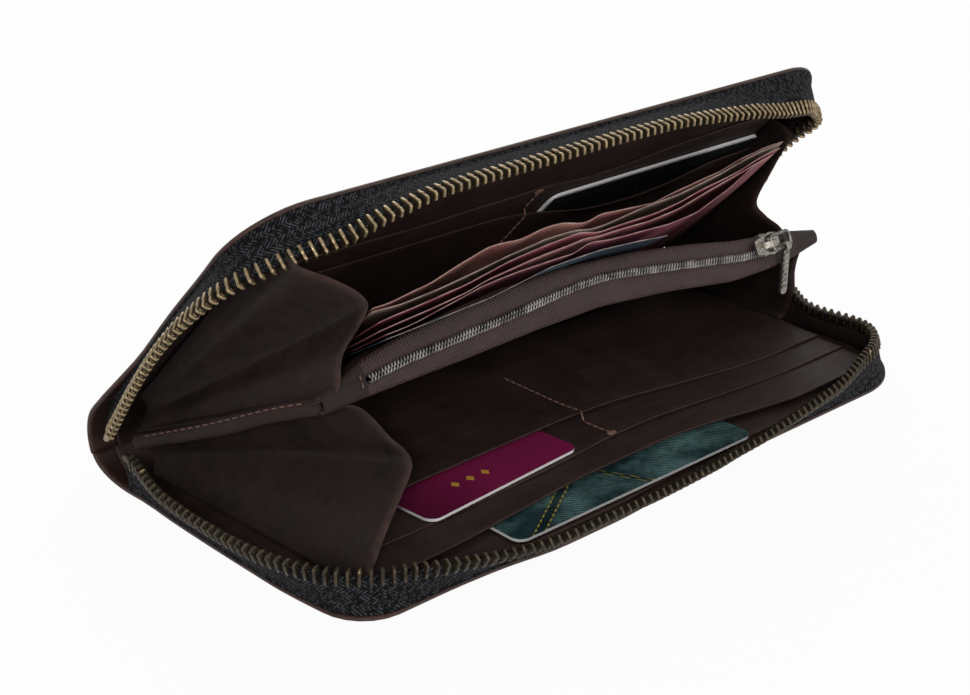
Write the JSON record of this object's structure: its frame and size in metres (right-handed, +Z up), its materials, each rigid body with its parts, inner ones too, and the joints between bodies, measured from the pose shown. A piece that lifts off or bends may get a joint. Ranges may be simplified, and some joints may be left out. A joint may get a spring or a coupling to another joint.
{
  "type": "zip around wallet",
  "caption": "Long zip-around wallet, half open on its side: covers with card slots, a gusseted coin pocket with its own zip, cards and banknotes inside.",
  "frame": {"origin": "middle of the lower cover's outer face, on the surface the wallet lies on", "axes": "+X along the spine, +Y towards the spine, +Z up"},
  "size_m": [0.2243, 0.1113, 0.0866],
  "materials": {
    "outer_leather": "satin",
    "inner_leather": "satin",
    "zip_tape": "matt",
    "pocket_tape": "matt",
    "zip_coil": "gloss",
    "antique_brass": "satin",
    "thread": "matt",
    "banknote_paper": "matt",
    "denim_card": "gloss",
    "magenta_card": "gloss",
    "white_card": "gloss"
  },
  "bodies": {
    "lower_cover": {"lower_centre_stitching": "thread", "lower_cover_leather": "outer_leather", "lower_cover_lining": "inner_leather", "lower_slot_1": "inner_leather", "lower_slot_2": "inner_leather", "lower_wide_slot": "inner_leather", "lower_zip_tape": "zip_tape", "lower_zip_teeth": "antique_brass", "lower_zip_top_stop": "antique_brass", "zip_bottom_stop": "antique_brass", "left_lower_gusset": "inner_leather", "right_lower_gusset": "inner_leather"},
    "middle": {"coin_pocket_left_end": "inner_leather", "coin_pocket_left_side": "inner_leather", "coin_pocket_lower_panel": "inner_leather", "coin_pocket_right_end": "inner_leather", "coin_pocket_right_side": "inner_leather", "coin_pocket_upper_panel": "inner_leather", "coin_zip_lower_coil": "zip_coil", "coin_zip_lower_tape": "pocket_tape", "coin_zip_upper_coil": "zip_coil", "coin_zip_upper_tape": "pocket_tape", "spine_leather": "outer_leather", "spine_lining": "inner_leather"},
    "upper_cover": {"upper_centre_stitching": "thread", "upper_cover_leather": "outer_leather", "upper_cover_lining": "inner_leather", "upper_slot_1": "inner_leather", "upper_slot_2": "inner_leather", "upper_wide_slot": "inner_leather", "upper_zip_tape": "zip_tape", "upper_zip_teeth": "antique_brass", "upper_zip_top_stop": "antique_brass", "left_upper_gusset": "inner_leather", "right_upper_gusset": "inner_leather"},
    "banknotes": {"banknote_1": "banknote_paper", "banknote_2": "banknote_paper", "banknote_3": "banknote_paper", "banknote_4": "banknote_paper", "banknote_5": "banknote_paper"},
    "coin_slider": {"coin_slider_body": "antique_brass", "coin_slider_crown": "antique_brass"},
    "coin_link": {"coin_pull_link": "antique_brass"},
    "coin_tab": {"coin_pull_tab": "antique_brass"},
    "main_slider": {"main_slider_body": "antique_brass", "main_slider_crown": "antique_brass"},
    "main_link": {"main_pull_link": "antique_brass"},
    "main_tab": {"main_pull_tab": "antique_brass"},
    "white_card": {"white_card": "white_card"},
    "magenta_card": {"magenta_card": "magenta_card"},
    "denim_card": {"denim_card": "denim_card"}
  },
  "joints": [
    {"name": "spine_hinge", "type": "hinge", "parent": "lower_cover", "child": "middle", "pos_m": [0, 0.041, 0.013], "axis": [-1, 0, 0], "range_deg": [-25.5, 5], "deforming": ["left_lower_gusset", "right_lower_gusset"]},
    {"name": "cover_hinge", "type": "hinge", "parent": "middle", "child": "upper_cover", "pos_m": [0, 0.041, 0.013], "axis": [-1, 0, 0], "range_deg": [-21.51, 4.23], "deforming": ["left_upper_gusset", "right_upper_gusset"]},
    {"name": "banknote_hinge", "type": "hinge", "parent": "middle", "child": "banknotes", "pos_m": [0, 0.03463, 0.01824], "axis": [-1, 0, 0], "range_deg": [-12.01, 2.36]},
    {"name": "coin_zip_slide", "type": "slide", "parent": "middle", "child": "coin_slider", "axis": [1, 0, 0], "range_m": [-0.13, 0]},
    {"name": "coin_link_hinge", "type": "hinge", "parent": "coin_slider", "child": "coin_link", "pos_m": [0.0576, -0.02708, 0.04547], "axis": [0, -0.4305, -0.9026], "range_deg": [0, 150]},
    {"name": "coin_tab_hinge", "type": "hinge", "parent": "coin_link", "child": "coin_tab", "pos_m": [0.0629, -0.02794, 0.04367], "axis": [-1, 0, 0], "range_deg": [-18.09, 92.05]},
    {"name": "main_zip_slide", "type": "slide", "parent": "lower_cover", "child": "main_slider", "axis": [0, -1, 0], "range_m": [0, 0.018]},
    {"name": "main_link_hinge", "type": "hinge", "parent": "main_slider", "child": "main_link", "pos_m": [0.11125, 0.0308, 0.01386], "axis": [0, 0, 1], "range_deg": [0, 150]},
    {"name": "main_tab_hinge", "type": "hinge", "parent": "main_link", "child": "main_tab", "pos_m": [0.11125, 0.0232, 0.01386], "axis": [0, 0, -1], "range_deg": [-110, 0]},
    {"name": "white_card_slide", "type": "slide", "parent": "upper_cover", "child": "white_card", "axis": [0, -0.682, 0.7314], "range_m": [0, 0.024]},
    {"name": "magenta_card_slide", "type": "slide", "parent": "lower_cover", "child": "magenta_card", "axis": [0.0785, -0.9969, 0], "range_m": [0, 0.016]},
    {"name": "denim_card_slide", "type": "slide", "parent": "lower_cover", "child": "denim_card", "axis": [1, 0, 0], "range_m": [-0.03, 0.055]}
  ],
  "couplings": [
    {"joint": "cover_hinge", "follows": "spine_hinge", "ratio": 0.84314},
    {"joint": "banknote_hinge", "follows": "spine_hinge", "ratio": 0.47059},
    {"joint": "coin_tab_hinge", "follows": "spine_hinge", "ratio": -3.6078}
  ]
}
